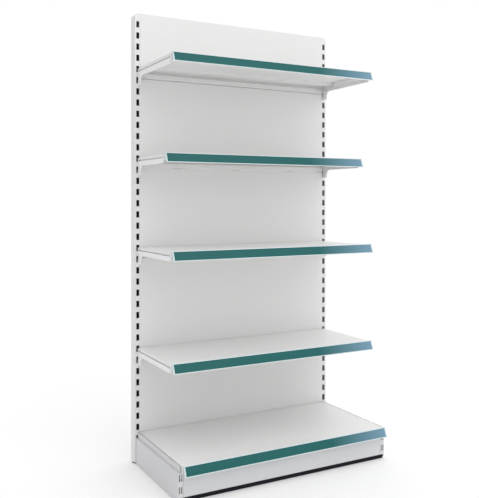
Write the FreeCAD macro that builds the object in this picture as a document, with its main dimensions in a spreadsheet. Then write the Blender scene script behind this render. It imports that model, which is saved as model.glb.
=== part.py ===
"""Gondola shelving unit: one single-sided bay of folded sheet steel.

Frame: X along the bay, front towards -Y, Z up from the floor. The origin is at floor level, in the
middle of the bay's width and of its overall depth. Units are millimetres.

Every sub-part is a body of its own. Inside a body, x is measured from the middle of the bay, y from
the front face of the uprights (forward is negative) and z from the floor, or from the hook level of
the shelf that the piece belongs to.
"""

import FreeCAD, Part
import os
import re
import Sketcher

SIZES = {
    # Bay
    "bay_width": 1000,  # between the centre lines of the uprights
    "overall_height": 2015,
    "clear_below": 8,  # floor to the underside of uprights and feet
    # Uprights: slotted rectangular tube
    "upright_width": 30,
    "upright_depth": 50,
    "upright_wall": 2,
    "upright_radius": 3,
    "end_plate": 3,
    "slot_pitch": 50,
    "slot_width": 14,
    "slot_height": 28,
    "first_slot": 115,  # height of the lowest slot's middle
    "slot_margin": 24,  # least distance from the top slot's middle to the end of the tube
    "cap_height": 24,
    "cap_round": 20,
    "cap_plug": 10,
    "cap_wall": 1.5,
    "plug_gap": 0.3,
    # Shelf levels, as shares of the slotted length, each taken to the nearest slot
    "level_1": 0.216,
    "level_2": 0.46,
    "level_3": 0.675,
    "level_4": 0.892,
    # Tie rails behind the panels
    "rail_height": 40,
    "rail_depth": 26,
    "rail_gauge": 1.5,
    "rail_plate": 2.5,
    "rail_end_gap": 0.3,
    "bottom_rail": 84,  # height of its middle
    "top_rail_drop": 62,  # its middle below the top of the uprights
    "screw_spread": 22,
    "screw_shank": 6,
    "screw_hole": 6.6,
    "screw_head": 11,
    "screw_head_height": 3.4,
    "screw_length": 9,
    # Back panels: shallow trays
    "panel_proud": 1,  # panel's face in front of the uprights' faces
    "panel_lap": 4,  # how far the panel's face laps over the upright's inner edge
    "panel_depth": 15,
    "panel_gauge": 0.8,
    "panel_side_gap": 1,
    "panel_bottom": 104,
    "panel_top_drop": 1,
    "seam_drop": 42,  # panel joint below the hook level of the shelf in front of it
    "seam_gap": 1.6,
    "clip_room": 2,
    "clip_width": 40,
    "clip_reach": 11,
    "clip_gauge": 0.8,
    "clip_gap": 0.1,
    "clip_spacing": 300,
    # Shelf decks
    "shelf_depth": 395,  # upright face to lip face
    "short_shelf_depth": 320,
    "base_depth": 500,
    "sheet_gauge": 1,
    "bend_radius": 1.5,
    "shelf_side_gap": 1,  # bay centre line to the deck's side
    "base_side_gap": 5.5,
    "rear_gap": 4,
    "deck_top": 4,  # above the hook level
    "base_rise": 28,  # base deck above the lowest slot's middle
    "lip_drop": 30,
    "lip_return": 12,
    "lip_tab": 19,
    "tab_gap": 3,
    "rear_drop": 24,
    "rear_return": 10,
    "side_flange": 12,
    "base_side_flange": 14,
    "notch_gap": 1,  # deck's rear corner notch to the bracket or foot that it straddles
    # Stiffening channels under the decks
    "hat_front": 100,
    "hat_width": 60,
    "base_hat_front": 285,
    "hat_height": 12,
    "hat_brim": 12,
    "hat_gauge": 1,
    "hat_end_gap": 14,
    # End brackets
    "bracket_gauge": 2.5,
    "bracket_inset": 0.7,  # bay centre line to the bracket's outer face
    "bracket_drop": 33,
    "bracket_step": 12.5,
    "bracket_joggle": 6,
    "bracket_flange": 9,
    "bracket_rear": 32,
    "bracket_rear_drop": 72,
    "bracket_nose_gap": 1,
    "bracket_ear": 6,
    "gusset_radius": 30,
    "rest_gap": 0.3,
    "face_gap": 0.5,
    "hook_top": 1,
    "hook_tip": 10,
    "hook_thick": 5,
    "hook_gap": 0.4,
    "lock_hole": 5,
    "lock_hole_back": 46,
    "lock_hole_drop": 20,
    # Base feet and their covers
    "foot_inset": 2,
    "foot_gauge": 2.5,
    "foot_flange": 25,
    "foot_sole": 40,
    "foot_front_gap": 8,
    "foot_heel": 15,
    "kick_line": 480,  # upright face to the front of the kickplate
    "cover_gauge": 1.2,
    "cover_strip": 0.2,  # the strip's face outside the bay centre line
    "cover_side": 8,  # the side face outside the bay centre line
    "cover_ledge": 27,  # ledge below the deck's top
    "cover_bottom": 4,
    "cover_face_gap": 0.6,
    "cover_corner": 3,
    "cover_flange": 22.5,
    "slit_width": 4.6,
    "slit_height": 26,
    "slit_spread": 9,
    "slit_low": 48,
    "slit_step": 48,
    "nick_width": 10,
    "nick_depth": 4,
    "nick_front": 85,  # front nick behind the kickplate's face
    "nick_step": 60,
    "toe_setback": 5,
    "toe_gap": 0.5,
    "bolt_shank": 6,
    "bolt_hole": 6.6,
    "bolt_head": 10,
    "bolt_head_height": 4,
    "bolt_length": 14,
    "bolt_inset": 9.7,
    "bolt_low": 46,
    "bolt_step": 28,
    # Levelling feet
    "level_pad": 28,
    "level_pad_height": 5,
    "level_stud": 10,
    "level_length": 56,
    "level_hole": 10.8,
    "level_front": 440,
    "level_inset": 20,
    "nut_across": 17,
    "nut_height": 8,
    # Kickplate, its seal and its clips
    "kick_gauge": 1,
    "kick_bottom": 18,
    "kick_top": 106,
    "kick_return": 12,
    "kick_end_gap": 1,
    "kick_tab": 26,
    "kick_tab_low": 55,
    "kick_tab_height": 24,
    "kick_tab_inset": 22,
    "seal_setback": 2,
    "seal_thickness": 4,
    "seal_ground": 1,  # floor to the seal's lower edge
    "seal_overhang": 15.5,
    "seal_round": 1.5,
    "clip_arm": 6,
    "clip_leaf": 0.8,
    "clip_slack": 0.4,
    # Ticket rails and strips
    "ticket_above": 6,  # rail's top above the deck
    "ticket_drop": 40.4,
    "ticket_lean": 16.5,  # how far the rail's foot stands forward of its top
    "ticket_wall": 1.2,
    "ticket_lip": 1.8,
    "ticket_slot": 1.2,
    "strip_thickness": 0.8,
    "strip_end_gap": 6.8,
    "strip_edge_gap": 0.3,
}

doc = FreeCAD.newDocument("gondola_bay")
sheet = doc.addObject("Spreadsheet::Sheet", "Sizes")
for row, (name, size) in enumerate(SIZES.items(), 1):
    sheet.set(f"A{row}", name)
    sheet.set(f"B{row}", str(size))
    sheet.setAlias(f"B{row}", name)
doc.recompute()

STEPS = "floor((overall_height - cap_height - slot_margin - first_slot) / slot_pitch)"
FACE = "(base_depth + ticket_front - upright_depth) / 2"
TICKET_FRONT = "(3 * ticket_wall + ticket_slot + ticket_lean)"
AXIS_OF_PLANE = {"XY": 2, "XZ": 1, "YZ": 0}
LEVELS = (1, 2, 3, 4)
SIDES = {"left": -1, "right": 1}


def bound(text):
    """An expression in plain size names, with each name pointed at its cell."""
    text = text.replace("ticket_front", TICKET_FRONT)
    return re.sub(r"[a-z_][a-z_0-9]*", lambda m: "Sizes." + m[0] if m[0] in SIZES else m[0], text)


def value(text):
    return float(sheet.evalExpression(bound(text)))


def hook_level(level):
    """Height of the upper hook slot of an upper shelf."""
    return f"(first_slot + slot_pitch * round(level_{level} * {STEPS}))"


def depth_of(level):
    return "short_shelf_depth" if level == 3 else "shelf_depth"


def new_body(name, height="0", across="0"):
    """A body whose own origin is on the upright face, at a height and a distance across the bay."""
    body = doc.addObject("PartDesign::Body", name)
    body.Label = name
    body.setExpression("Placement.Base.x", bound(across))
    body.setExpression("Placement.Base.y", bound(FACE))
    body.setExpression("Placement.Base.z", bound(height))
    return body


def rectangle(low_x, low_y, high_x, high_y):
    return [(low_x, low_y), (high_x, low_y), (high_x, high_y), (low_x, high_y)]


def sketch(body, plane, loops, start="0"):
    """A sketch of polygons, given by their corners, and circles, given by centre and diameter."""
    drawing = body.newObject("Sketcher::SketchObject", body.Name + "_sketch")
    role = plane + "_Plane"
    drawing.AttachmentSupport = [(next(o for o in body.Origin.OriginFeatures if o.Role == role), "")]
    drawing.MapMode = "FlatFace"
    drawing.setExpression("AttachmentOffset.Base.z", bound(start))

    def tie(kind, item, point, text):
        place = (-1, 1, item, point) if point else (item,)
        number = drawing.addConstraint(Sketcher.Constraint(kind, *place, value(text)))
        drawing.setExpression(f"Constraints[{number}]", bound(text))

    for loop in loops:
        first = drawing.GeometryCount
        if isinstance(loop, tuple):
            x, y, diameter = loop
            middle = FreeCAD.Vector(value(x), value(y), 0)
            drawing.addGeometry(Part.Circle(middle, FreeCAD.Vector(0, 0, 1), value(diameter) / 2), False)
            tie("DistanceX", first, 3, x)
            tie("DistanceY", first, 3, y)
            tie("Diameter", first, 0, diameter)
            continue
        corners = [FreeCAD.Vector(value(x), value(y), 0) for x, y in loop]
        count = len(corners)
        for i in range(count):
            drawing.addGeometry(Part.LineSegment(corners[i], corners[(i + 1) % count]), False)
        for i in range(count):
            following = first + (i + 1) % count
            drawing.addConstraint(Sketcher.Constraint("Coincident", first + i, 2, following, 1))
        for i, (x, y) in enumerate(loop):
            tie("DistanceX", first + i, 1, x)
            tie("DistanceY", first + i, 1, y)
    return drawing


def pad(body, plane, loops, length, start="0", both_ways=False):
    """Solid of a sketch. XZ sketches grow forward, YZ ones to the right and XY ones upward."""
    feature = body.newObject("PartDesign::Pad", body.Name + "_pad")
    feature.Profile = sketch(body, plane, loops, start)
    feature.setExpression("Length", bound(length))
    feature.SideType = "Symmetric" if both_ways else "One side"
    body.Tip = feature
    doc.recompute()
    return feature


def pocket(body, plane, loops, length, start="0"):
    """Cut of a sketch, half of its length to each side of the sketch, that has to remove something."""
    before = body.Tip.Shape.Volume
    feature = body.newObject("PartDesign::Pocket", body.Name + "_pocket")
    feature.Profile = sketch(body, plane, loops, start)
    feature.setExpression("Length", bound(length))
    feature.SideType = "Symmetric"
    body.Tip = feature
    doc.recompute()
    if not feature.Shape.Volume < before:
        raise ValueError(body.Label + ": the cut removes nothing")
    return feature


def fillet(body, axis, corners, radius):
    """Rounds the edges that run along an axis through the given corners of the section."""
    across = [i for i in range(3) if i != axis]
    wanted = [tuple(value(c) for c in corner) for corner in corners]
    names = []
    base = body.Tip
    for number, edge in enumerate(base.Shape.Edges, 1):
        if len(edge.Vertexes) < 2:
            continue
        run = edge.Vertexes[1].Point - edge.Vertexes[0].Point
        if abs(run[axis]) < run.Length - 1e-6:
            continue
        place = tuple(edge.Vertexes[0].Point[i] for i in across)
        if any(abs(place[0] - w[0]) + abs(place[1] - w[1]) < 1e-4 for w in wanted):
            names.append(f"Edge{number}")
    feature = body.newObject("PartDesign::Fillet", body.Name + "_round")
    feature.Base = (base, names)
    feature.setExpression("Radius", bound(radius))
    body.Tip = feature
    doc.recompute()
    return feature


def folded(path, gauge, hand):
    """Outline of a folded sheet: a path of square bends and the same path moved in by its gauge.

    hand is 1 when the sheet's thickness lies to the left of the path and -1 when it lies to the
    right. Also returns the corners on the outside and on the inside of the bends.
    """
    points = [(value(x), value(y)) for x, y in path]
    normals = []
    for (x0, y0), (x1, y1) in zip(points, points[1:]):
        length = abs(x1 - x0) + abs(y1 - y0)
        normals.append((-hand * round((y1 - y0) / length), hand * round((x1 - x0) / length)))
    moved, outside, inside = [], [], []
    for i, (x, y) in enumerate(path):
        near = normals[max(i - 1, 0) : i + 1]
        shift = [sum(n[k] for n in near) for k in (0, 1)]
        partner = (f"{x} + {shift[0]} * {gauge}", f"{y} + {shift[1]} * {gauge}")
        moved.append(partner)
        if len(near) == 2:
            turn = near[0][0] * near[1][1] - near[0][1] * near[1][0]
            outside.append((x, y) if turn * hand > 0 else partner)
            inside.append(partner if turn * hand > 0 else (x, y))
    return path + moved[::-1], outside, inside


def folded_pad(body, plane, path, gauge, hand, length, start="0", both_ways=False, bend="bend_radius"):
    """A folded sheet with rounded bends."""
    loop, outside, inside = folded(path, gauge, hand)
    pad(body, plane, [loop], length, start, both_ways)
    fillet(body, AXIS_OF_PLANE[plane], outside, f"{bend} + {gauge}")
    fillet(body, AXIS_OF_PLANE[plane], inside, bend)


def at_both_ends(body, loops, thickness, outer):
    """The same plate at the left and right end of a piece, its outer face at a distance from the middle."""
    pad(body, "YZ", loops, thickness, f"{outer} - ({thickness})")
    pad(body, "YZ", loops, thickness, f"-({outer})")


def sided(side, low, high):
    """Two distances from the middle of the bay, on one side of it, lowest x first."""
    return (low, high) if side > 0 else (f"-({high})", f"-({low})")


def block(side, low, high, bottom, top):
    """Rectangle across the bay on one side of it."""
    left, right = sided(side, low, high)
    return rectangle(left, bottom, right, top)


def hook_outline(height):
    """A hook's side view: a tongue through the upright's front wall, with a tip behind it."""
    seat = f"{height} - slot_height / 2 + rest_gap"
    behind = "upright_wall + hook_gap"
    return [
        ("-face_gap - bracket_gauge", seat),
        (behind, seat),
        (behind, f"{seat} - hook_tip"),
        (f"{behind} + hook_thick", f"{seat} - hook_tip"),
        (f"{behind} + hook_thick", f"{height} + hook_top"),
        ("-face_gap - bracket_gauge", f"{height} + hook_top"),
    ]


# ---- Uprights -------------------------------------------------------------------------------------


def upright(name, side):
    body = new_body(name, across=f"{side} * bay_width / 2")
    half, wall, depth = "upright_width / 2", "upright_wall", "upright_depth"
    outer = rectangle(f"-{half}", "0", half, depth)
    bore = rectangle(f"-{half} + {wall}", wall, f"{half} - {wall}", f"{depth} - {wall}")
    pad(body, "XY", [outer, bore], "overall_height - cap_height - clear_below", "clear_below")
    fillet(body, 2, outer, "upright_radius")
    pad(body, "XY", [bore, ("0", f"{depth} / 2", "level_hole")], "end_plate", "clear_below")
    for height in rail_heights():
        screws = [(RAIL_MIDDLE, f"{height} + {s} * screw_spread / 2", "screw_hole") for s in (-1, 1)]
        pocket(body, "YZ", screws, f"{wall} * 2", f"{-side} * ({half} - {wall} / 2)")
    bolts = [(f"{-side} * bolt_inset", f"bolt_low + {i} * bolt_step", "bolt_hole") for i in (0, 1)]
    pocket(body, "XZ", bolts, f"{wall} * 2", f"-{wall} / 2")
    slot = rectangle("-slot_width / 2", "first_slot - slot_height / 2",
                     "slot_width / 2", "first_slot + slot_height / 2")
    first = pocket(body, "XZ", [slot], f"{wall} * 2", f"-{wall} / 2")
    row = body.newObject("PartDesign::LinearPattern", name + "_slots")
    row.Originals = [first]
    row.Direction = (next(o for o in body.Origin.OriginFeatures if o.Role == "Z_Axis"), [""])
    row.setExpression("Length", bound(f"slot_pitch * {STEPS}"))
    row.setExpression("Occurrences", bound(f"{STEPS} + 1"))
    body.Tip = row


def upright_cap(name, side):
    """A moulded cap, rounded over on the outside of the bay, with a hollow plug."""
    body = new_body(name, across=f"{side} * bay_width / 2")
    half, depth, top = "upright_width / 2", "upright_depth", "overall_height"
    front = rectangle(f"-{half}", f"{top} - cap_height", half, top)
    pad(body, "XZ", [front], depth, f"-{depth}")
    fillet(body, 1, [(f"{side} * {half}", top)], "cap_round")
    fillet(body, 2, rectangle(f"-{half}", "0", half, depth), "upright_radius")
    inset = "(upright_wall + plug_gap)"
    plug = rectangle(f"-{half} + {inset}", inset, f"{half} - {inset}", f"{depth} - {inset}")
    inset = "(upright_wall + plug_gap + cap_wall)"
    core = rectangle(f"-{half} + {inset}", inset, f"{half} - {inset}", f"{depth} - {inset}")
    pad(body, "XY", [plug, core], "cap_plug", f"{top} - cap_height - cap_plug")


# ---- Tie rails ------------------------------------------------------------------------------------

RAIL_FRONT = "(panel_depth - panel_proud + clip_room)"
RAIL_MIDDLE = f"({RAIL_FRONT} + rail_depth / 2)"
RAIL_END = "(bay_width / 2 - upright_width / 2 - rail_end_gap)"


def rail_heights():
    return ("bottom_rail", f"({hook_level(2)} - seam_drop)", "(overall_height - top_rail_drop)")


def tie_rail(name, height):
    body = new_body(name)
    low, high = f"{height} - rail_height / 2", f"{height} + rail_height / 2"
    back = f"{RAIL_FRONT} + rail_depth"
    path = [(back, low), (RAIL_FRONT, low), (RAIL_FRONT, high), (back, high)]
    folded_pad(body, "YZ", path, "rail_gauge", -1, f"2 * {RAIL_END}", both_ways=True)
    plate = rectangle(RAIL_FRONT, low, back, high)
    holes = [(RAIL_MIDDLE, f"{height} + {s} * screw_spread / 2", "screw_hole") for s in (-1, 1)]
    at_both_ends(body, [plate] + holes, "rail_plate", RAIL_END)


def rail_screws(name):
    body = new_body(name)
    places = [
        (RAIL_MIDDLE, f"{height} + {s} * screw_spread / 2") for height in rail_heights() for s in (-1, 1)
    ]
    heads = [(y, z, "screw_head") for y, z in places]
    shanks = [(y, z, "screw_shank") for y, z in places]
    seat = f"({RAIL_END} - rail_plate)"
    at_both_ends(body, heads, "screw_head_height", seat)
    at_both_ends(body, shanks, "screw_length + screw_head_height / 2", f"{seat} + screw_length")


# ---- Back panels ----------------------------------------------------------------------------------


def seam(level):
    return f"({hook_level(level)} - seam_drop)"


def panel_edges():
    """Lower and upper edge of each back panel, from the bottom up."""
    seams = [seam(level) for level in LEVELS]
    lows = ["panel_bottom"] + [f"({s} + seam_gap / 2)" for s in seams]
    highs = [f"({s} - seam_gap / 2)" for s in seams] + ["(overall_height - panel_top_drop)"]
    return zip(lows, highs)


def back_panel(name, low, high):
    """A shallow tray between the uprights, whose face laps over their front edges."""
    body = new_body(name)
    half = "(bay_width / 2 - upright_width / 2 - panel_side_gap)"
    front, back = "-panel_proud", "panel_depth - panel_proud"
    path = [(back, low), (front, low), (front, high), (back, high)]
    folded_pad(body, "YZ", path, "panel_gauge", -1, f"2 * {half}", both_ways=True)
    round_off = "(bend_radius + panel_gauge)"
    side = [
        (back, low),
        (f"{front} + {round_off}", low),
        (front, f"{low} + {round_off}"),
        (front, f"{high} - {round_off}"),
        (f"{front} + {round_off}", high),
        (back, high),
    ]
    at_both_ends(body, [side], "panel_gauge", half)
    edge = "(bay_width / 2 - upright_width / 2 + panel_lap)"
    lap = rectangle(front, f"{low} + {round_off}", f"{front} + panel_gauge", f"{high} - {round_off}")
    at_both_ends(body, [lap], f"{edge} - {half} + panel_gauge", edge)


def panel_clips(name):
    """Channels pushed over the two flanges that meet at each seam."""
    body = new_body(name)
    back = "panel_depth - panel_proud + clip_gap + clip_gauge"
    tip = "panel_depth - panel_proud - clip_reach"
    loops = []
    for level in LEVELS:
        reach = "seam_gap / 2 + panel_gauge + clip_gap"
        low, high = f"{seam(level)} - ({reach} + clip_gauge)", f"{seam(level)} + {reach} + clip_gauge"
        path = [(tip, low), (back, low), (back, high), (tip, high)]
        loops.append(folded(path, "clip_gauge", 1)[0])
    for place in (-1, 0, 1):
        pad(body, "YZ", loops, "clip_width", f"{place} * clip_spacing - clip_width / 2")


# ---- Shelf decks ----------------------------------------------------------------------------------


def deck(name, depth, height, half, flange, notch):
    """A folded tray: lip and return in front, rear flange, side flanges and tabs that close the lip.

    The rear flange stops at a notch in each corner, which starts at a distance from the bay's middle.
    """
    body = new_body(name, height)
    front, back = f"-{depth}", "-rear_gap"
    lip, heel = "deck_top - lip_drop", "deck_top - rear_drop"
    path = [
        (f"{front} + lip_return", lip),
        (front, lip),
        (front, "deck_top"),
        (back, "deck_top"),
        (back, heel),
        (f"{back} - rear_return", heel),
    ]
    folded_pad(body, "YZ", path, "sheet_gauge", -1, f"2 * {half}", both_ways=True)
    corner = rectangle(f"{back} - rear_return - notch_gap", f"{heel} - notch_gap",
                       f"{back} + notch_gap", "deck_top - sheet_gauge")
    for side in SIDES.values():
        pocket(body, "YZ", [corner], f"{half} - {notch}", f"{side} * ({half} + {notch}) / 2")
    root = "deck_top - sheet_gauge / 2"
    tab_start = f"{depth} - lip_tab"
    for side in SIDES.values():
        edge = block(side, f"{half} - sheet_gauge", half, f"deck_top - {flange}", root)
        pad(body, "XZ", [edge], f"{tab_start} - tab_gap - 2 * rear_gap", "2 * rear_gap")
        end = block(side, f"{half} - sheet_gauge", half, lip, root)
        pad(body, "XZ", [end], "lip_tab - sheet_gauge - bend_radius", tab_start)


def stiffener(name, front, height, half):
    """A hat-shaped channel spot-welded under a deck."""
    body = new_body(name, height)
    under = "deck_top - sheet_gauge - hat_gauge"
    low = f"{under} + hat_gauge - hat_height"
    nose, tail = f"-{front}", f"-{front} + hat_width"
    path = [
        (f"{nose} - hat_brim", under),
        (nose, under),
        (nose, low),
        (tail, low),
        (tail, under),
        (f"{tail} + hat_brim", under),
    ]
    folded_pad(body, "YZ", path, "hat_gauge", 1, f"2 * ({half} - hat_end_gap)", both_ways=True)


SHELF_HALF = "(bay_width / 2 - shelf_side_gap)"
BASE_HALF = "(bay_width / 2 - base_side_gap)"
BASE_LEVEL = "(first_slot + base_rise - deck_top)"
BASE_TOP = "(first_slot + base_rise)"
BRACKET_INNER = "(bay_width / 2 - bracket_inset - bracket_joggle - bracket_gauge)"


# ---- End brackets ---------------------------------------------------------------------------------


def bracket(name, level, side):
    """A joggled plate with a stiffening flange, a rear gusset and two hooks one slot pitch apart."""
    body = new_body(name, hook_level(level))
    outer = "(bay_width / 2 - bracket_inset)"
    length = f"{depth_of(level)} - lip_tab - bracket_nose_gap - face_gap"
    inner = f"({outer} - bracket_joggle)"
    path = [
        (inner, "deck_top - sheet_gauge - rest_gap"),
        (inner, "-bracket_step"),
        (outer, "-bracket_step"),
        (outer, "-bracket_drop"),
        (f"{outer} - bracket_flange", "-bracket_drop"),
    ]
    if side < 0:
        path = [(f"-({x})", z) for x, z in path]
    pad(body, "XZ", [folded(path, "bracket_gauge", -side)[0]], length, "face_gap")
    plane = sided(side, f"{outer} - bracket_gauge", outer)[0]
    rear = [
        ("-face_gap", "hook_top"),
        ("-face_gap", "-bracket_rear_drop"),
        ("-bracket_rear", "-bracket_rear_drop"),
        ("-bracket_rear", "-bracket_drop"),
        ("-bracket_rear - gusset_radius - 1", "-bracket_drop"),
        ("-bracket_rear - gusset_radius - 1", "-bracket_step - bracket_gauge / 2"),
        ("-face_gap - bracket_ear", "-bracket_step - bracket_gauge / 2"),
        ("-face_gap - bracket_ear", "hook_top"),
    ]
    pad(body, "YZ", [rear], "bracket_gauge", plane)
    fillet(body, 0, [("-bracket_rear", "-bracket_drop")], "gusset_radius")
    for height in ("0", "-slot_pitch"):
        pad(body, "YZ", [hook_outline(height)], "bracket_gauge", plane)
    hole = (f"-{depth_of(level)} + lock_hole_back", "-lock_hole_drop", "lock_hole")
    pocket(body, "YZ", [hole], "2 * bracket_gauge", f"{side} * ({outer} - bracket_gauge / 2)")


# ---- Base feet ------------------------------------------------------------------------------------

FOOT_OUTER = "(bay_width / 2 - foot_inset)"
FOOT_TOP = f"({BASE_TOP} - base_side_flange - rest_gap)"


def base_foot(name, side):
    """A channel hooked and bolted to the upright, with a sole that carries the front levelling foot."""
    body = new_body(name)
    path = [
        (f"{FOOT_OUTER} - foot_flange", FOOT_TOP),
        (FOOT_OUTER, FOOT_TOP),
        (FOOT_OUTER, "clear_below"),
        (f"{FOOT_OUTER} - foot_sole", "clear_below"),
    ]
    if side < 0:
        path = [(f"-({x})", z) for x, z in path]
    rear = "(panel_proud + face_gap)"
    length = f"kick_line - foot_front_gap - {rear}"
    folded_pad(body, "XZ", path, "foot_gauge", -side, length, rear)
    heel = block(side, f"{FOOT_OUTER} - foot_heel", f"{FOOT_OUTER} - foot_gauge / 2",
                 "clear_below + foot_gauge / 2", "first_slot - slot_height / 2")
    middle = f"{side} * (bay_width / 2 - bolt_inset)"
    bolts = [(middle, f"bolt_low + {i} * bolt_step", "bolt_hole") for i in (0, 1)]
    pad(body, "XZ", [heel] + bolts, "foot_gauge", "face_gap")
    plane = sided(side, f"{FOOT_OUTER} - foot_gauge", FOOT_OUTER)[0]
    pad(body, "YZ", [hook_outline("first_slot")], "foot_gauge", plane)
    stud = (f"{side} * ({FOOT_OUTER} - level_inset)", "-level_front", "level_hole")
    pocket(body, "XY", [stud], "2 * foot_gauge", "clear_below + foot_gauge / 2")


def foot_cover(name, side):
    """A stepped cover: a strip beside the deck, a ledge, the side face and a slitted front flange."""
    body = new_body(name)
    strip, face = "(bay_width / 2 + cover_strip)", "(bay_width / 2 + cover_side)"
    ledge = f"{BASE_TOP} - cover_ledge"
    path = [(strip, BASE_TOP), (strip, ledge), (face, ledge), (face, "cover_bottom")]
    if side < 0:
        path = [(f"-({x})", z) for x, z in path]
    gauge = "cover_gauge"
    length = f"kick_line - cover_face_gap"
    pad(body, "XZ", [folded(path, gauge, -side)[0]], length, "cover_face_gap")
    ends = sided(side, f"{face} - cover_flange", face)
    toe_top = "kick_bottom + toe_gap"
    flange = rectangle(ends[0], toe_top, ends[1], f"{ledge} - {gauge} / 2")
    pad(body, "XZ", [flange], gauge, f"kick_line - {gauge}")
    toe = rectangle("-kick_line - toe_gap", "cover_bottom - toe_gap", "-kick_line + toe_setback", toe_top)
    pocket(body, "YZ", [toe], f"4 * {gauge}", f"{side} * {face}")
    corner = (f"{side} * {face}", "-kick_line")
    fillet(body, 2, [corner], "cover_corner")
    middle = f"{side} * ({face} - cover_flange / 2)"
    slits = []
    for row in (0, 1):
        for place in (-1, 1):
            x, z = f"{middle} + {place} * slit_spread / 2", f"slit_low + {row} * slit_step"
            slits.append(rectangle(f"{x} - slit_width / 2", f"{z} - slit_height / 2",
                                   f"{x} + slit_width / 2", f"{z} + slit_height / 2"))
    pocket(body, "XZ", slits, f"2 * {gauge}", f"kick_line - {gauge} / 2")
    nicks = []
    for place in (0, 1):
        y = f"-kick_line + nick_front + {place} * nick_step"
        nicks.append(rectangle(f"{y} - nick_width / 2", f"{BASE_TOP} - nick_depth",
                               f"{y} + nick_width / 2", f"{BASE_TOP} + nick_depth"))
    pocket(body, "YZ", nicks, f"4 * {gauge}", f"{side} * {strip}")


def foot_bolts(name, side):
    """Two hexagon-head bolts through the foot's heel and the upright's front wall."""
    heads, shanks = [], []
    for i in (0, 1):
        height = f"bolt_low + {i} * bolt_step"
        middle = f"{side} * (bay_width / 2 - bolt_inset)"
        seat = f"{FACE} - face_gap - foot_gauge"
        for kind, group in (("Part::Prism", heads), ("Part::Cylinder", shanks)):
            piece = doc.addObject(kind, f"{name}_{len(group)}")
            flats_to_the_side = FreeCAD.Rotation(FreeCAD.Vector(0, 0, 1), 30)
            forward = FreeCAD.Rotation(FreeCAD.Vector(1, 0, 0), 90)
            piece.Placement.Rotation = forward * flats_to_the_side
            piece.setExpression("Placement.Base.x", bound(middle))
            piece.setExpression("Placement.Base.z", bound(height))
            group.append(piece)
        heads[-1].Polygon = 6
        heads[-1].setExpression("Circumradius", bound("bolt_head / sqrt(3)"))
        heads[-1].setExpression("Height", bound("bolt_head_height"))
        heads[-1].setExpression("Placement.Base.y", bound(seat))
        shanks[-1].setExpression("Radius", bound("bolt_shank / 2"))
        shanks[-1].setExpression("Height", bound("bolt_length + bolt_head_height / 2"))
        shanks[-1].setExpression("Placement.Base.y", bound(f"{seat} + bolt_length"))
    fused = doc.addObject("Part::MultiFuse", name)
    fused.Shapes = heads + shanks
    fused.Label = name


# ---- Levelling feet -------------------------------------------------------------------------------


def level_places():
    """Name, x and y (from the upright face) of each levelling foot, and what its lock nut sits on."""
    for side_name, side in SIDES.items():
        yield (f"level_foot_front_{side_name}", f"{side} * ({FOOT_OUTER} - level_inset)",
               "-level_front", "clear_below + foot_gauge")
        yield (f"level_foot_rear_{side_name}", f"{side} * bay_width / 2",
               "upright_depth / 2", "clear_below + end_plate")


def level_foot(name, x, y):
    body = new_body(name)
    pad(body, "XY", [(x, y, "level_pad")], "level_pad_height")
    pad(body, "XY", [(x, y, "level_stud")], "level_length")


def lock_nuts(name):
    body_parts, bores = [], []
    for number, (_, x, y, seat) in enumerate(level_places()):
        for kind, group in (("Part::Prism", body_parts), ("Part::Cylinder", bores)):
            piece = doc.addObject(kind, f"{name}_{kind[6:]}_{number}")
            piece.setExpression("Placement.Base.x", bound(x))
            piece.setExpression("Placement.Base.y", bound(f"{FACE} + {y}"))
            piece.setExpression("Placement.Base.z", bound(seat))
            piece.setExpression("Height", bound("nut_height"))
            group.append(piece)
        body_parts[-1].Polygon = 6
        body_parts[-1].setExpression("Circumradius", bound("nut_across / sqrt(3)"))
        bores[-1].setExpression("Radius", bound("level_hole / 2"))
    solid = doc.addObject("Part::MultiFuse", name + "_blanks")
    solid.Shapes = body_parts
    holes = doc.addObject("Part::MultiFuse", name + "_bores")
    holes.Shapes = bores
    nuts = doc.addObject("Part::Cut", name)
    nuts.Base = solid
    nuts.Tool = holes
    nuts.Label = name


# ---- Kickplate ------------------------------------------------------------------------------------

KICK_HALF = "(bay_width / 2 + cover_side - cover_flange - kick_end_gap)"
TAB_PLACE = "(bay_width / 2 - kick_tab_inset)"


def kickplate(name):
    """A folded plinth plate with an upright tab behind each end for the clips to grip."""
    body = new_body(name)
    front, back = "-kick_line", "-kick_line + kick_return"
    path = [(back, "kick_bottom"), (front, "kick_bottom"), (front, "kick_top"), (back, "kick_top")]
    folded_pad(body, "YZ", path, "kick_gauge", -1, f"2 * {KICK_HALF}", both_ways=True)
    tab = rectangle("-kick_line + kick_gauge / 2", "kick_tab_low",
                    "-kick_line + kick_tab", "kick_tab_low + kick_tab_height")
    at_both_ends(body, [tab], "kick_gauge", TAB_PLACE)


def kick_seal(name):
    """A rubber strip under the kickplate that closes the gap to the floor."""
    body = new_body(name)
    front, back = "-kick_line + seal_setback", "-kick_line + seal_setback + seal_thickness"
    strip = rectangle(front, "seal_ground", back, "kick_bottom")
    pad(body, "YZ", [strip], f"2 * ({KICK_HALF} + seal_overhang)", both_ways=True)
    fillet(body, 0, [(front, "seal_ground"), (back, "seal_ground")], "seal_round")


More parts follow.
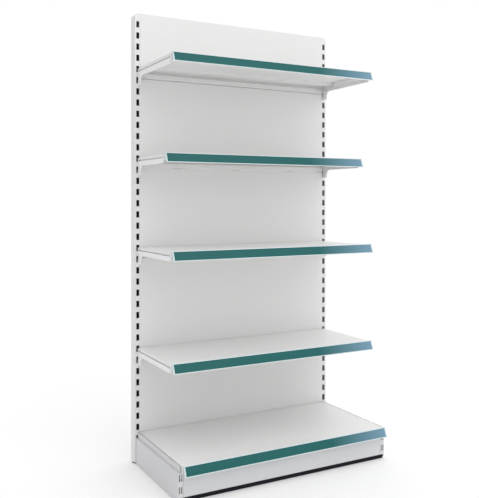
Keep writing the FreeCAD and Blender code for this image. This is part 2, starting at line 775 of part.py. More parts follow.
def kick_clips(name):
    """Spring clips on the insides of the feet, each a fork that grips a kickplate tab."""
    body = new_body(name)
    for side in SIDES.values():
        outer = f"({TAB_PLACE} + clip_slack + clip_leaf)"
        inner = f"({TAB_PLACE} - kick_gauge - clip_slack - clip_leaf)"
        mouth, root = "-kick_line + kick_tab - clip_reach", "-kick_line + kick_tab + clip_arm"
        wall = f"{FOOT_OUTER} - foot_gauge"
        fork = [
            (wall, root),
            (inner, root),
            (inner, mouth),
            (f"{inner} + clip_leaf", mouth),
            (f"{inner} + clip_leaf", f"{root} - clip_leaf"),
            (f"{outer} - clip_leaf", f"{root} - clip_leaf"),
            (f"{outer} - clip_leaf", mouth),
            (outer, mouth),
            (outer, f"{root} - clip_leaf"),
            (wall, f"{root} - clip_leaf"),
        ]
        if side < 0:
            fork = [(f"-({x})", y) for x, y in fork]
        pad(body, "XY", [fork], "kick_tab_height", "kick_tab_low")


# ---- Ticket rails and strips ----------------------------------------------------------------------


def slanted(front, drop):
    """A point of the ticket rail: distance in front of the slanted line, and drop below the rail's top."""
    return (f"-({front} + ticket_lean * ({drop}) / ticket_drop)", f"deck_top + ticket_above - ({drop})")


def ticket_rail(name, depth, height, half):
    """A rail in the shape of an A: a flat back on the lip, and a slanted face with two retaining lips."""
    body = new_body(name, height)
    wall, foot = "ticket_wall", "ticket_drop"
    back, slope = wall, f"2 * {wall}"
    pocket_front, front = f"{slope} + ticket_slot", f"{slope} + ticket_slot + {wall}"
    catch = f"({wall} + ticket_lip)"
    outline = [
        ("0", "deck_top + ticket_above"),
        slanted(front, "0"),
        slanted(front, catch),
        slanted(pocket_front, catch),
        slanted(pocket_front, wall),
        slanted(slope, wall),
        slanted(slope, f"{foot} - {wall}"),
        slanted(pocket_front, f"{foot} - {wall}"),
        slanted(pocket_front, f"{foot} - {catch}"),
        slanted(front, f"{foot} - {catch}"),
        slanted(front, foot),
        slanted(back, foot),
        slanted(back, f"3 * {wall}"),
        (f"-{wall}", f"deck_top + ticket_above - 3 * {wall}"),
        (f"-{wall}", "deck_top - lip_drop"),
        ("0", "deck_top - lip_drop"),
    ]
    loop = [(f"{y} - {depth}", z) for y, z in outline]
    pad(body, "YZ", [loop], f"2 * {half}", both_ways=True)


def ticket_strip(name, depth, height, half):
    body = new_body(name, height)
    spare = "(ticket_slot - strip_thickness) / 2"
    near, far = f"2 * ticket_wall + {spare}", f"2 * ticket_wall + {spare} + strip_thickness"
    top, foot = "ticket_wall + strip_edge_gap", "ticket_drop - ticket_wall - strip_edge_gap"
    outline = [slanted(near, top), slanted(far, top), slanted(far, foot), slanted(near, foot)]
    loop = [(f"{y} - {depth}", z) for y, z in outline]
    pad(body, "YZ", [loop], f"2 * ({half} - strip_end_gap)", both_ways=True)


# ---- The bay --------------------------------------------------------------------------------------

for side_name, side in SIDES.items():
    upright(f"upright_{side_name}", side)
    upright_cap(f"upright_cap_{side_name}", side)
    base_foot(f"base_foot_{side_name}", side)
    foot_cover(f"foot_cover_{side_name}", side)
    foot_bolts(f"foot_bolts_{side_name}", side)
    for level in LEVELS:
        bracket(f"bracket_{level}_{side_name}", level, side)

for rail_name, height in zip(("bottom", "middle", "top"), rail_heights()):
    tie_rail(f"tie_rail_{rail_name}", height)
rail_screws("rail_screws")

for number, (low, high) in enumerate(panel_edges(), 1):
    back_panel(f"back_panel_{number}", low, high)
panel_clips("panel_clips")

for level in LEVELS:
    height, depth = hook_level(level), depth_of(level)
    deck(f"shelf_{level}", depth, height, SHELF_HALF, "side_flange", f"({BRACKET_INNER} - notch_gap)")
    stiffener(f"stiffener_{level}", "hat_front", height, SHELF_HALF)
    ticket_rail(f"ticket_rail_{level}", depth, height, SHELF_HALF)
    ticket_strip(f"ticket_strip_{level}", depth, height, SHELF_HALF)
base_notch = f"({FOOT_OUTER} - foot_flange - notch_gap)"
deck("base_shelf", "base_depth", BASE_LEVEL, BASE_HALF, "base_side_flange", base_notch)
stiffener("base_stiffener", "base_hat_front", BASE_LEVEL, BASE_HALF)
ticket_rail("base_ticket_rail", "base_depth", BASE_LEVEL, BASE_HALF)
ticket_strip("base_ticket_strip", "base_depth", BASE_LEVEL, BASE_HALF)

for level_name, x, y, _ in level_places():
    level_foot(level_name, x, y)
lock_nuts("level_lock_nuts")
kickplate("kickplate")
kick_seal("kick_seal")
kick_clips("kick_clips")

# ---- Checks and files -----------------------------------------------------------------------------

doc.recompute()
for item in doc.Objects:
    if "Invalid" in item.State or "Error" in item.State:
        raise ValueError(f"{item.Label}: {item.State}")
inner = {part for item in doc.Objects if item.isDerivedFrom("Part::Feature") for part in item.OutList}
subparts = [
    item
    for item in doc.Objects
    if item.TypeId == "PartDesign::Body"
    or (item.TypeId in ("Part::MultiFuse", "Part::Cut") and item not in inner)
]
for item in subparts:
    if item.Shape.isNull() or not item.Shape.isValid() or not item.Shape.Solids:
        raise ValueError(item.Label + ": no valid shape")
os.makedirs("parts", exist_ok=True)
for item in subparts:
    item.Shape.exportStep(f"parts/{item.Label}.step")
print(len(subparts), "sub-parts")
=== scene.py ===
"""Looks for the gondola shelving bay: finishes, fasteners, welds, floor, light and camera."""

import math

import bmesh
import bpy
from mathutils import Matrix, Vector


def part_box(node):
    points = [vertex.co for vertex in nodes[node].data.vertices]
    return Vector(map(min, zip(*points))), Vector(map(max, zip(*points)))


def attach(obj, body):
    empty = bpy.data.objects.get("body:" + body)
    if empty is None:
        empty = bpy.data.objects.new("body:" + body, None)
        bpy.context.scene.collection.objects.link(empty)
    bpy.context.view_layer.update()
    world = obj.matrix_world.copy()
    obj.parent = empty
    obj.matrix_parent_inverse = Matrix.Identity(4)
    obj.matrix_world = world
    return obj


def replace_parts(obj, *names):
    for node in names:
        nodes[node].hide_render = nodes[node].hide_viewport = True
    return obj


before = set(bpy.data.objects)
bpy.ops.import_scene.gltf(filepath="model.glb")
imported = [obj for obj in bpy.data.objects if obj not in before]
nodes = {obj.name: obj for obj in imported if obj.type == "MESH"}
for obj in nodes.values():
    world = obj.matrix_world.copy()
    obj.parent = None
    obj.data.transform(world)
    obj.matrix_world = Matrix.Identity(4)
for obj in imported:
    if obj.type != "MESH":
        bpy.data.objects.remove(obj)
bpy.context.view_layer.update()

# ---- Uprights -------------------------------------------------------------------------------------
# Rectangular tubes of 2 mm steel, rolled, punched with a column of slots and powder coated white.
# The coat has orange peel about 2 mm across. Inside the tube the inner walls are painted darker
# with depth behind the slotted face: painted shade, darkest on the back wall.

UPRIGHT_X = sum(corner[0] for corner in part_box("upright_right")) / 2
UPRIGHT_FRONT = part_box("upright_right")[0][1]
TUBE_WALL = 0.002
# Depths behind the slotted face where the painted shade inside the tube starts and where it is full.
SHADE_STARTS, SHADE_FULL = 0.016, 0.034
PAINT_LIGHT = (0.792, 0.790, 0.789)
PAINT_DARK = (0.776, 0.771, 0.766)
# The colour of the painted shade inside the tube.
TUBE_SHADE = (0.110, 0.120, 0.150)
PAINT_ROUGHNESS = 0.42
ROUGHNESS_SWING = 0.06
TONE_SCALE, GLOSS_SCALE, PEEL_SCALE = 3.0, 70.0, 480.0
RELIEF = 0.00002


def add(tree, kind, **settings):
    """A node with its properties set by name and its inputs set by socket name."""
    node = tree.nodes.new(kind)
    for key, setting in settings.items():
        if hasattr(node, key):
            setattr(node, key, setting)
        else:
            node.inputs[key.replace("_", " ")].default_value = setting
    return node


def spread(tree, source, low, high, from_low=0.0, from_high=1.0):
    """Maps a value from one range to another and returns the result's socket."""
    node = add(tree, "ShaderNodeMapRange")
    for name, number in zip(("From Min", "From Max", "To Min", "To Max"), (from_low, from_high, low, high)):
        node.inputs[name].default_value = number
    tree.links.new(source, node.inputs["Value"])
    return node.outputs["Result"]


def calculate(tree, operation, first, second):
    """A Math node between a socket and a number or another socket."""
    node = add(tree, "ShaderNodeMath", operation=operation)
    for slot, operand in enumerate((first, second)):
        if isinstance(operand, bpy.types.NodeSocket):
            tree.links.new(operand, node.inputs[slot])
        else:
            node.inputs[slot].default_value = operand
    return node.outputs["Value"]


def noise(tree, place, scale, detail=2.0, roughness=0.5):
    """Noise over a place, as one value."""
    node = add(tree, "ShaderNodeTexNoise", Scale=scale, Detail=detail, Roughness=roughness)
    tree.links.new(place, node.inputs["Vector"])
    return node.outputs["Fac"]


def bump(tree, height, strength):
    """A normal that follows a height in steps of RELIEF."""
    node = add(tree, "ShaderNodeBump", Distance=RELIEF, Strength=strength)
    tree.links.new(height, node.inputs["Height"])
    return node.outputs["Normal"]


def effect(name, outputs):
    """An empty node group with the given outputs, and its output node."""
    group = bpy.data.node_groups.new(name, "ShaderNodeTree")
    for label, kind in outputs.items():
        group.interface.new_socket(name=label, in_out="OUTPUT", socket_type=kind)
    return group, group.nodes.new("NodeGroupOutput")


def axes_of(tree):
    """A place on the piece in metres: as one vector, then as its X, Y and Z."""
    place = add(tree, "ShaderNodeTexCoord").outputs["Object"]
    split = add(tree, "ShaderNodeSeparateXYZ")
    tree.links.new(place, split.inputs["Vector"])
    return place, split.outputs["X"], split.outputs["Y"], split.outputs["Z"]


coat, coat_out = effect("coat", {"Tone": "NodeSocketFloat", "Gloss": "NodeSocketFloat",
                                 "Normal": "NodeSocketVector"})
place = axes_of(coat)[0]
coat.links.new(noise(coat, place, TONE_SCALE, 4.0), coat_out.inputs["Tone"])
coat.links.new(noise(coat, place, GLOSS_SCALE, 5.0, 0.65), coat_out.inputs["Gloss"])
coat.links.new(bump(coat, noise(coat, place, PEEL_SCALE, 1.5), 0.4), coat_out.inputs["Normal"])


def material(name, group, **constants):
    """A material with one Principled shader and one effect group."""
    made = bpy.data.materials.new(name)
    made.use_nodes = True
    tree = made.node_tree
    shader = tree.nodes["Principled BSDF"]
    for key, setting in constants.items():
        shader.inputs[key.replace("_", " ")].default_value = setting
    source = add(tree, "ShaderNodeGroup")
    source.node_tree = group
    tree.links.new(source.outputs["Normal"], shader.inputs["Normal"])
    return made, tree, shader, source


def mix(tree, mask, first, second):
    """A blend by a mask between two colours, each plain or a socket."""
    node = add(tree, "ShaderNodeMix", data_type="RGBA")
    for key, colour in (("A", first), ("B", second)):
        socket = [s for s in node.inputs if s.name == key and s.type == "RGBA"][0]
        if isinstance(colour, bpy.types.NodeSocket):
            tree.links.new(colour, socket)
        else:
            socket.default_value = (*colour, 1.0)
    factor = [s for s in node.inputs if s.name == "Factor" and s.type == "VALUE"][0]
    tree.links.new(mask, factor)
    return [s for s in node.outputs if s.type == "RGBA"][0]


def painted(name, dark, light, roughness=PAINT_ROUGHNESS, shade_mask=None, shade_colour=None):
    """White powder coat, with an optional mask function and dark colour for painted shade on the faces it
    marks.
    """
    made, tree, shader, source = material(name, coat, IOR=1.45)
    colour = mix(tree, source.outputs["Tone"], dark, light)
    if shade_mask:
        colour = mix(tree, shade_mask(tree), colour, shade_colour)
    tree.links.new(colour, shader.inputs["Base Color"])
    gloss = spread(tree, source.outputs["Gloss"], roughness - ROUGHNESS_SWING, roughness + ROUGHNESS_SWING)
    tree.links.new(gloss, shader.inputs["Roughness"])
    return made


def tube_shade_mask(tree):
    """Mask of painted shade on the tube's inner walls, growing with depth behind the slotted face."""
    low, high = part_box("upright_right")
    half_x = high[0] - UPRIGHT_X - TUBE_WALL / 2
    middle_y = (low[1] + high[1]) / 2
    half_y = middle_y - UPRIGHT_FRONT - TUBE_WALL / 2
    _, x, y, _ = axes_of(tree)
    off_axis = calculate(tree, "SUBTRACT", calculate(tree, "ABSOLUTE", x, 0), UPRIGHT_X)
    across = calculate(tree, "ABSOLUTE", off_axis, 0)
    along = calculate(tree, "ABSOLUTE", calculate(tree, "SUBTRACT", y, middle_y), 0)
    inner = calculate(tree, "MULTIPLY", calculate(tree, "LESS_THAN", across, half_x),
                      calculate(tree, "LESS_THAN", along, half_y))
    depth = spread(tree, y, 0.0, 1.0, UPRIGHT_FRONT + SHADE_STARTS, UPRIGHT_FRONT + SHADE_FULL)
    return calculate(tree, "MULTIPLY", inner, depth)


def finish_nodes(finish, *starts):
    """Gives a finish to the CAD nodes whose names start with one of the words."""
    for name, piece in nodes.items():
        if name.startswith(starts):
            for slot in piece.material_slots:
                slot.material = finish


tube_paint_and_shade = painted("tube_paint_and_shade", PAINT_DARK, PAINT_LIGHT, shade_mask=tube_shade_mask, shade_colour=TUBE_SHADE)
finish_nodes(tube_paint_and_shade, "upright")

# ---- Back panels, tie rails, stiffeners, feet and brackets ----------------------------------------
# Folded sheet in the same white coat. The brackets get a lighter copy of it: painted light.

# A lighter copy of the coat for the brackets, as painted light.
LIT_BRACKET_LIGHT = (0.860, 0.864, 0.878)
LIT_BRACKET_DARK = (0.842, 0.845, 0.856)

white_paint = painted("white_paint", PAINT_DARK, PAINT_LIGHT)
finish_nodes(white_paint, "back_panel", "stiffener", "base_stiffener", "base_foot", "tie_rail")
finish_nodes(painted("lit_bracket_paint", LIT_BRACKET_DARK, LIT_BRACKET_LIGHT), "bracket")

# ---- Upright caps ---------------------------------------------------------------------------------
# Moulded polypropylene, pushed into the tops of the tubes. The surface is finer and duller than paint.

CAP_DARK = (0.79, 0.79, 0.785)
CAP_LIGHT = (0.81, 0.81, 0.81)
CAP_ROUGHNESS = 0.48
HAZE_SCALE, GRAIN_SCALE = 14.0, 1500.0

grain, grain_out = effect("grain", {"Haze": "NodeSocketFloat", "Normal": "NodeSocketVector"})
place = axes_of(grain)[0]
grain.links.new(noise(grain, place, HAZE_SCALE, 4.0), grain_out.inputs["Haze"])
grain.links.new(bump(grain, noise(grain, place, GRAIN_SCALE), 0.5), grain_out.inputs["Normal"])


def plastic(name, group, dark, light, roughness, **constants):
    """Moulded or extruded plastic, clouded by its group's haze."""
    made, tree, shader, source = material(name, group, Roughness=roughness, **constants)
    tree.links.new(mix(tree, source.outputs["Haze"], dark, light), shader.inputs["Base Color"])
    return made


finish_nodes(plastic("cap_plastic", grain, CAP_DARK, CAP_LIGHT, CAP_ROUGHNESS), "upright_cap")

# ---- Zinc plated clips and screws -----------------------------------------------------------------
# Bright zinc on steel: small spangle, and rolling scratches along the strip the clips are bent from.
# The tie rails hang on pan head screws with a hexagon socket, two at each end.

SCREW_LENGTH = 0.009
SCREW_SPACING = 0.022
HEAD_TOP = 0.0034
SOCKET = 0.0025
ZINC_DARK = (0.58, 0.59, 0.59)
ZINC_LIGHT = (0.74, 0.74, 0.71)

plate, plate_out = effect("plate", {"Spangle": "NodeSocketFloat", "Normal": "NodeSocketVector"})
place = axes_of(plate)[0]
cells = add(plate, "ShaderNodeTexVoronoi", Scale=600.0)
plate.links.new(place, cells.inputs["Vector"])
plate.links.new(cells.outputs["Distance"], plate_out.inputs["Spangle"])
stretch = add(plate, "ShaderNodeMapping", Scale=(200.0, 3000.0, 3000.0))
plate.links.new(place, stretch.inputs["Vector"])
scratches = noise(plate, stretch.outputs["Vector"], 1.0)
plate.links.new(bump(plate, scratches, 0.35), plate_out.inputs["Normal"])

zinc, tree, shader, source = material("zinc", plate, Metallic=1.0)
tree.links.new(mix(tree, source.outputs["Spangle"], ZINC_DARK, ZINC_LIGHT), shader.inputs["Base Color"])
tree.links.new(spread(tree, source.outputs["Spangle"], 0.28, 0.42), shader.inputs["Roughness"])
finish_nodes(zinc, "panel_clips", "kick_clips", "rail_screws", "foot_bolts", "level_lock_nuts")


def turned(rings, sides=24, closed=False):
    """A mesh about Z through rings of (radius, height, hexagonal), capped, or closed like a nut.

    A hexagonal ring's radius is half of its width across the flats.
    """
    shape = bmesh.new()
    loops = []
    for radius, height, hexagonal in rings:
        loop = []
        for i in range(sides):
            angle = math.tau * i / sides
            reach = radius
            if hexagonal:
                reach = radius / math.cos(angle % (math.tau / 6) - math.tau / 12)
            loop.append(shape.verts.new((reach * math.cos(angle), reach * math.sin(angle), height)))
        loops.append(loop)
    pairs = list(zip(loops, loops[1:])) + ([(loops[-1], loops[0])] if closed else [])
    for lower, upper in pairs:
        for i in range(sides):
            j = (i + 1) % sides
            shape.faces.new((lower[i], lower[j], upper[j], upper[i]))
    if not closed:
        shape.faces.new(reversed(loops[0]))
        shape.faces.new(loops[-1])
    bmesh.ops.recalc_face_normals(shape, faces=shape.faces)
    mesh = bpy.data.meshes.new("turned")
    shape.to_mesh(mesh)
    shape.free()
    return mesh


def socket_of(tree, name):
    """The identifier of a tree's named input."""
    return next(s.identifier for s in tree.interface.items_tree if s.name == name and s.in_out == "INPUT")


def geometry_tree(name, **inputs):
    """An empty Geometry Nodes tree with the named inputs, and its input and output nodes."""
    group = bpy.data.node_groups.new(name, "GeometryNodeTree")
    for label, kind in {"Geometry": "Geometry", **inputs, "Material": "Material"}.items():
        group.interface.new_socket(name=label, in_out="INPUT", socket_type=f"NodeSocket{kind}")
    group.interface.new_socket(name="Geometry", in_out="OUTPUT", socket_type="NodeSocketGeometry")
    return group, add(group, "NodeGroupInput"), add(group, "NodeGroupOutput")


def row_tree():
    """Geometry Nodes: copies of the incoming mesh in a straight row."""
    group, given, out = geometry_tree("row", Count="Int", Start="Vector", Step="Vector")
    line = add(group, "GeometryNodeMeshLine")
    copies = add(group, "GeometryNodeInstanceOnPoints")
    real = add(group, "GeometryNodeRealizeInstances")
    coated = add(group, "GeometryNodeSetMaterial")
    for source, target in (
        (given.outputs["Count"], line.inputs["Count"]),
        (given.outputs["Start"], line.inputs["Start Location"]),
        (given.outputs["Step"], line.inputs["Offset"]),
        (line.outputs["Mesh"], copies.inputs["Points"]),
        (given.outputs["Geometry"], copies.inputs["Instance"]),
        (copies.outputs["Instances"], real.inputs["Geometry"]),
        (real.outputs["Geometry"], coated.inputs["Geometry"]),
        (given.outputs["Material"], coated.inputs["Material"]),
        (coated.outputs["Geometry"], out.inputs["Geometry"]),
    ):
        group.links.new(source, target)
    return group


def placed(name, data):
    """A new object, in the scene."""
    made = bpy.data.objects.new(name, data)
    bpy.context.scene.collection.objects.link(made)
    return made


def evaluated(mesh, tree, settings):
    """The plain mesh that a Geometry Nodes tree makes of a mesh."""
    holder = placed("holder", mesh)
    modifier = holder.modifiers.new("tree", "NODES")
    modifier.node_group = tree
    for name, setting in settings.items():
        modifier[socket_of(tree, name)] = setting
    made = bpy.data.meshes.new_from_object(holder.evaluated_get(bpy.context.evaluated_depsgraph_get()))
    bpy.data.objects.remove(holder)
    return made


ROW = row_tree()


def in_rows(template, rows, finish):
    """Meshes of a template repeated along each row of (count, start, step)."""
    return [evaluated(template, ROW, {"Count": count, "Start": start, "Step": step, "Material": finish})
            for count, start, step in rows]


def piece_of(name, meshes, body, finish, smooth_below=30):
    """One object of several meshes, on its body and with its material."""
    joined = bmesh.new()
    for mesh in meshes:
        joined.from_mesh(mesh)
    whole = bpy.data.meshes.new(name)
    joined.to_mesh(whole)
    joined.free()
    whole.materials.clear()
    whole.materials.append(finish)
    for face in whole.polygons:
        face.material_index = 0
    whole.shade_smooth()
    whole.set_sharp_from_angle(angle=math.radians(smooth_below))
    piece = placed(name, whole)
    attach(piece, body)
    return piece


def aimed(mesh, direction):
    """A copy of a mesh whose Z points another way."""
    copy = mesh.copy()
    copy.transform(Vector((0, 0, 1)).rotation_difference(Vector(direction)).to_matrix().to_4x4())
    return copy


pan_screw = turned([
    (0.0030, -SCREW_LENGTH, False), (0.0030, 0.0, False), (0.0055, 0.0, False), (0.0055, 0.0018, False),
    (0.0050, 0.0028, False), (0.0038, HEAD_TOP, False), (SOCKET, HEAD_TOP, True), (SOCKET, 0.0014, True),
])
screw_low, screw_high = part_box("rail_screws")
screw_y = (screw_low[1] + screw_high[1]) / 2
seat_x = screw_high[0] - SCREW_LENGTH
screws = []
for side in (-1, 1):
    rows = []
    for level in ("bottom", "middle", "top"):
        low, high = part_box(f"tie_rail_{level}")
        lowest = (low[2] + high[2]) / 2 - SCREW_SPACING / 2
        rows.append((2, (side * seat_x, screw_y, lowest), (0, 0, SCREW_SPACING)))
    screws += in_rows(aimed(pan_screw, (-side, 0, 0)), rows, zinc)
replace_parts(piece_of("socket_screws", screws, "frame", zinc), "rail_screws")

# ---- Decks ----------------------------------------------------------------------------------------
# Folded 1 mm trays in the same white coat, a little glossier from wear. The stiffening channel under
# each is spot welded along both brims, and each weld leaves a shallow round button.

WELD_STEP = 0.07
WELD_COUNT = 14
BRIM_MIDDLE = 0.006
SHEET = 0.001
DECK_ROUGHNESS = 0.36

deck_paint = painted("deck_paint", PAINT_DARK, PAINT_LIGHT, DECK_ROUGHNESS)
finish_nodes(deck_paint, "shelf_", "base_shelf")
button = turned([
    (0.0030, 0.0, False), (0.0026, 0.00018, False), (0.0018, 0.0003, False), (0.0008, 0.00022, False),
], sides=16)
weld = aimed(button, (0, 0, -1))
for number in ("1", "2", "3", "4", "base"):
    channel = "base_stiffener" if number == "base" else f"stiffener_{number}"
    body = "base_deck" if number == "base" else f"shelf_{number}"
    low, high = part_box(channel)
    start_x = -WELD_STEP * (WELD_COUNT - 1) / 2
    rows = [(WELD_COUNT, (start_x, y, high[2] - SHEET), (WELD_STEP, 0, 0))
            for y in (low[1] + BRIM_MIDDLE, high[1] - BRIM_MIDDLE)]
    piece_of(f"spot_welds_{number}", in_rows(weld, rows, white_paint), body, white_paint)

# ---- Ticket rails and strips ----------------------------------------------------------------------
# The rails are extruded in one length from milky clear PVC, with fine die lines along the bay. Each
# holds a printed teal film, painted paler and bluer towards its right end: a painted sheen.

RAIL_DARK = (0.60, 0.70, 0.72)
RAIL_LIGHT = (0.68, 0.77, 0.78)
TEAL = (0.010, 0.112, 0.110)
TEAL_LIGHT = (0.014, 0.122, 0.119)
# A painted sheen, paler and bluer, over the right end of each film.
SHEEN_TEAL = (0.165, 0.300, 0.400)
SHEEN_FROM, SHEEN_TO = 0.20, 0.48

extruded, extruded_out = effect("extruded", {"Haze": "NodeSocketFloat", "Normal": "NodeSocketVector"})
place = axes_of(extruded)[0]
stretch = add(extruded, "ShaderNodeMapping", Scale=(4.0, 900.0, 900.0))
extruded.links.new(place, stretch.inputs["Vector"])
die_lines = noise(extruded, stretch.outputs["Vector"], 1.0)
extruded.links.new(bump(extruded, die_lines, 0.4), extruded_out.inputs["Normal"])
extruded.links.new(noise(extruded, place, 9.0, 3.0), extruded_out.inputs["Haze"])

rail_plastic = plastic("rail_plastic", extruded, RAIL_DARK, RAIL_LIGHT, 0.22, IOR=1.4)
finish_nodes(rail_plastic, "ticket_rail", "base_ticket_rail")

teal_film, tree, shader, source = material("teal_film", extruded, Roughness=0.34, IOR=1.3)
along = axes_of(tree)[1]
# The film blends into the painted sheen towards its right end.
sheen_fade = spread(tree, along, 0.0, 1.0, SHEEN_FROM, SHEEN_TO)
print_colour = mix(tree, source.outputs["Haze"], TEAL, TEAL_LIGHT)
tree.links.new(mix(tree, sheen_fade, print_colour, SHEEN_TEAL), shader.inputs["Base Color"])
finish_nodes(teal_film, "ticket_strip", "base_ticket_strip")

# ---- Foot covers and kickplate --------------------------------------------------------------------
# Folded covers and a plinth plate, in a copy of the white coat painted a shade darker than the rest:
# painted shade. The covers' inner faces, seen through the slits, are painted near black as shade. A
# near-black strip fills the gap to the floor, painted as the shadow under the plinth.

COVER_GAUGE = 0.0012
COVER_MARGIN = 0.010
# The covers and plinth get a darker copy of the coat: painted shade.
SHADED_BASE_LIGHT = (0.674, 0.678, 0.692)
SHADED_BASE_DARK = (0.656, 0.659, 0.670)
# Painted shade for the covers' inner faces, seen through the slits.
COVER_SHADE = (0.010, 0.010, 0.011)
# The strip in the gap under the plinth is painted near black, as the shadow there.
GAP_SHADOW_DARK = (0.004, 0.0045, 0.009)
GAP_SHADOW_LIGHT = (0.007, 0.008, 0.014)
GAP_SHADOW_ROUGHNESS = 0.7
cover_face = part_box("foot_cover_right")[1][0]
cover_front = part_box("foot_cover_right")[0][1]


def cover_shade_mask(tree):
    """Mask of painted shade on the faces that look into the base: behind the front sheet and inside the
    side sheet.
    """
    _, x, y, _ = axes_of(tree)
    behind = calculate(tree, "GREATER_THAN", y, cover_front + COVER_GAUGE / 2)
    within = calculate(tree, "LESS_THAN", calculate(tree, "ABSOLUTE", x, 0), cover_face - COVER_MARGIN)
    return calculate(tree, "MULTIPLY", behind, within)


shaded_cover_paint = painted("shaded_cover_paint", SHADED_BASE_DARK, SHADED_BASE_LIGHT, shade_mask=cover_shade_mask, shade_colour=COVER_SHADE)
finish_nodes(shaded_cover_paint, "foot_cover")
finish_nodes(painted("shaded_plinth_paint", SHADED_BASE_DARK, SHADED_BASE_LIGHT), "kickplate")
gap_shadow_strip = plastic("black_rubber", grain, GAP_SHADOW_DARK, GAP_SHADOW_LIGHT, GAP_SHADOW_ROUGHNESS, IOR=1.3)
finish_nodes(gap_shadow_strip, "kick_seal")

# ---- Foot bolts -----------------------------------------------------------------------------------
# Hexagon head bolts with a pressed-on washer, two through each foot's heel into the upright.

BOLT_LENGTH = 0.014
BOLT_SPACING = 0.028

bolt = turned([
    (0.0030, -BOLT_LENGTH, False), (0.0030, 0.0, False), (0.0050, 0.0, False), (0.0050, 0.0007, False),
    (0.0049, 0.0007, True), (0.0049, 0.0032, True), (0.0046, 0.0040, False),
])
for side_name in ("left", "right"):
    low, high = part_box(f"foot_bolts_{side_name}")
    middle_x = (low[0] + high[0]) / 2
    lowest = (low[2] + high[2]) / 2 - BOLT_SPACING / 2
    rows = [(2, (middle_x, high[1] - BOLT_LENGTH, lowest), (0, 0, BOLT_SPACING))]
    bolts = in_rows(aimed(bolt, (0, -1, 0)), rows, zinc)
    hex_bolts = piece_of(f"hex_bolts_{side_name}", bolts, "frame", zinc)
    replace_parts(hex_bolts, f"foot_bolts_{side_name}")

# ---- Levelling feet -------------------------------------------------------------------------------
# A black moulded pad on a threaded stud, held by a lock nut. The stud's thread has a 1.5 mm pitch.

THREAD_PITCH = 0.0015
PAD_TOP = 0.005
STUD_RADIUS = 0.005
THREAD_START = 0.006
THREAD_RIDGE = 0.0003
NUT_HEIGHT = 0.008
PAD_DARK = (0.016, 0.016, 0.017)
PAD_LIGHT = (0.026, 0.026, 0.027)


def thread_tree():
    """Geometry Nodes: a spiral ridge of triangular section."""
    group, given, out = geometry_tree(
        "thread", Turns="Float", Radius="Float", Height="Float", Ridge="Float", Start="Vector")
    spiral = add(group, "GeometryNodeCurveSpiral", Resolution=24)
    ridge = add(group, "GeometryNodeCurvePrimitiveCircle", Resolution=3)
    swept = add(group, "GeometryNodeCurveToMesh")
    swept.inputs["Fill Caps"].default_value = True
    moved = add(group, "GeometryNodeTransform")
    real = add(group, "GeometryNodeRealizeInstances")
    coated = add(group, "GeometryNodeSetMaterial")
    for source, target in (
        (given.outputs["Turns"], spiral.inputs["Rotations"]),
        (given.outputs["Radius"], spiral.inputs["Start Radius"]),
        (given.outputs["Radius"], spiral.inputs["End Radius"]),
        (given.outputs["Height"], spiral.inputs["Height"]),
        (given.outputs["Ridge"], ridge.inputs["Radius"]),
        (spiral.outputs["Curve"], swept.inputs["Curve"]),
        (ridge.outputs["Curve"], swept.inputs["Profile Curve"]),
        (swept.outputs["Mesh"], moved.inputs["Geometry"]),
        (given.outputs["Start"], moved.inputs["Translation"]),
        (moved.outputs["Geometry"], real.inputs["Geometry"]),
        (real.outputs["Geometry"], coated.inputs["Geometry"]),
        (given.outputs["Material"], coated.inputs["Material"]),
        (coated.outputs["Geometry"], out.inputs["Geometry"]),
    ):
        group.links.new(source, target)
    return group


foot_finish, tree, shader, source = material("foot_finish", grain, Roughness=0.5)
stud = calculate(tree, "GREATER_THAN", axes_of(tree)[3], PAD_TOP + 0.0001)
moulded = mix(tree, source.outputs["Haze"], PAD_DARK, PAD_LIGHT)
tree.links.new(mix(tree, stud, moulded, ZINC_LIGHT), shader.inputs["Base Color"])
tree.links.new(stud, shader.inputs["Metallic"])
finish_nodes(foot_finish, "level_foot")

THREAD = thread_tree()
nut = turned([
    (0.0054, 0.0, False), (0.0080, 0.0, False), (0.0085, 0.0007, True), (0.0085, 0.0073, True),
    (0.0080, NUT_HEIGHT, False), (0.0054, NUT_HEIGHT, False),
], closed=True)
nuts_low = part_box("level_lock_nuts")[0][2]
nuts_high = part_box("level_lock_nuts")[1][2] - NUT_HEIGHT
nuts = []
for row, nut_height in (("front", nuts_low), ("rear", nuts_high)):
    for side_name in ("left", "right"):
        low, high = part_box(f"level_foot_{row}_{side_name}")
        x, y = (low[0] + high[0]) / 2, (low[1] + high[1]) / 2
        height = high[2] - THREAD_START - THREAD_PITCH
        spiral = evaluated(bpy.data.meshes.new("stud"), THREAD, {
            "Turns": height / THREAD_PITCH, "Radius": STUD_RADIUS, "Height": height,
            "Ridge": THREAD_RIDGE, "Start": (x, y, THREAD_START), "Material": zinc,
        })
        piece_of(f"stud_thread_{row}_{side_name}", [spiral], f"level_{row}_{side_name}", zinc)
        nuts += in_rows(nut, [(1, (x, y, nut_height), (0, 0, 0))], zinc)
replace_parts(piece_of("lock_nuts", nuts, "frame", zinc), "level_lock_nuts")

# ---- Floor, light and camera ----------------------------------------------------------------------
# A pale floor wide enough to meet the white surroundings, and soft light from all round, which is
# strongest from above and weaker from the bay's left. The floor glows a little, to stay as white as
# what is behind it.

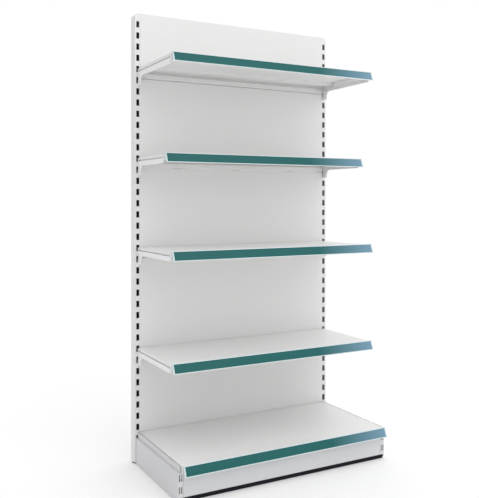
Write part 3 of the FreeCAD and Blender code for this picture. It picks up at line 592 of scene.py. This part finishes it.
FLOOR_SIZE = 30.0
FLOOR_DARK = (0.77, 0.77, 0.77)
FLOOR_LIGHT = (0.79, 0.79, 0.79)
FLOOR_GLOW = 0.165
WHITE = (1.0, 1.0, 1.0, 1.0)
LIGHT_LEFT, LIGHT_RIGHT = 0.47, 1.0
LIGHT_LOW, LIGHT_HIGH = 0.82, 1.40
KEY_PLACE, KEY_AIM = Vector((0.6, -3.4, 3.4)), Vector((0.0, 0.0, 1.0))
KEY_SIZE, KEY_WATTS = 3.0, 22

mesh = bpy.data.meshes.new("floor")
shape = bmesh.new()
bmesh.ops.create_grid(shape, x_segments=1, y_segments=1, size=FLOOR_SIZE)
shape.to_mesh(mesh)
shape.free()
floor = placed("floor", mesh)
floor_paint, tree, shader, source = material("floor_paint", coat, Roughness=0.9, IOR=1.2)
tree.links.new(mix(tree, source.outputs["Tone"], FLOOR_DARK, FLOOR_LIGHT), shader.inputs["Base Color"])
shader.inputs["Emission Color"].default_value = WHITE
shader.inputs["Emission Strength"].default_value = FLOOR_GLOW
mesh.materials.append(floor_paint)

world = bpy.data.worlds.new("studio")
bpy.context.scene.world = world
world.use_nodes = True
tree = world.node_tree
direction = add(tree, "ShaderNodeSeparateXYZ")
tree.links.new(add(tree, "ShaderNodeTexCoord").outputs["Generated"], direction.inputs["Vector"])
sideways = spread(tree, direction.outputs["X"], LIGHT_LEFT, LIGHT_RIGHT, -1.0, 0.1)
upwards = spread(tree, direction.outputs["Z"], LIGHT_LOW, LIGHT_HIGH, 0.0, 0.9)
strength = calculate(tree, "MULTIPLY", sideways, upwards)
seen = add(tree, "ShaderNodeLightPath").outputs["Is Camera Ray"]
tree.links.new(calculate(tree, "MAXIMUM", strength, seen), tree.nodes["Background"].inputs["Strength"])
tree.nodes["Background"].inputs["Color"].default_value = WHITE

key = bpy.data.lights.new("key", "AREA")
key.shape = "RECTANGLE"
key.size = key.size_y = KEY_SIZE
key.energy = KEY_WATTS
lamp = placed("key", key)
lamp.location = KEY_PLACE
lamp.rotation_euler = (KEY_AIM - KEY_PLACE).to_track_quat("-Z", "Y").to_euler()

lens = bpy.data.cameras.new("camera")
lens.lens = 52.23
lens.sensor_width = 36.0
lens.shift_x = -0.045
lens.shift_y = -0.0992
camera = placed("camera", lens)
camera.location = (-1.6011, -2.8508, 1.1813)
camera.rotation_euler = (math.radians(90), 0.0, math.radians(-29.38))
bpy.context.scene.camera = camera
bpy.context.scene.view_settings.view_transform = "Standard"
